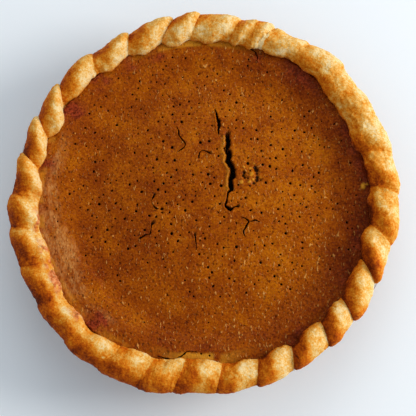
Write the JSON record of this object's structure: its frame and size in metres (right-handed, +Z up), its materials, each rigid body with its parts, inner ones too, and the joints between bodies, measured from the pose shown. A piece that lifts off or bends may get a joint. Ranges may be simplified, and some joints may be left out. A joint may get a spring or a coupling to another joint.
{
  "type": "pumpkin pie in a glass pie plate",
  "caption": "Whole round baked custard pie with a hand-crimped rope crust, standing in its clear glass pie plate.",
  "frame": {"origin": "middle of the plate's flat base, on the surface it stands on", "axes": "+Z up through the middle of the pie; +X towards the side that faced the light, +Y towards the side with the narrow crimps; the long crack runs mostly along Y on the +X +Y side"},
  "size_m": [0.2509, 0.2505, 0.0487],
  "materials": {
    "clear_glass": "gloss",
    "baked_pastry": "satin",
    "pumpkin_custard": "satin"
  },
  "bodies": {
    "root": {"dish": "clear_glass", "crust": "baked_pastry", "filling": "pumpkin_custard"}
  },
  "joints": []
}
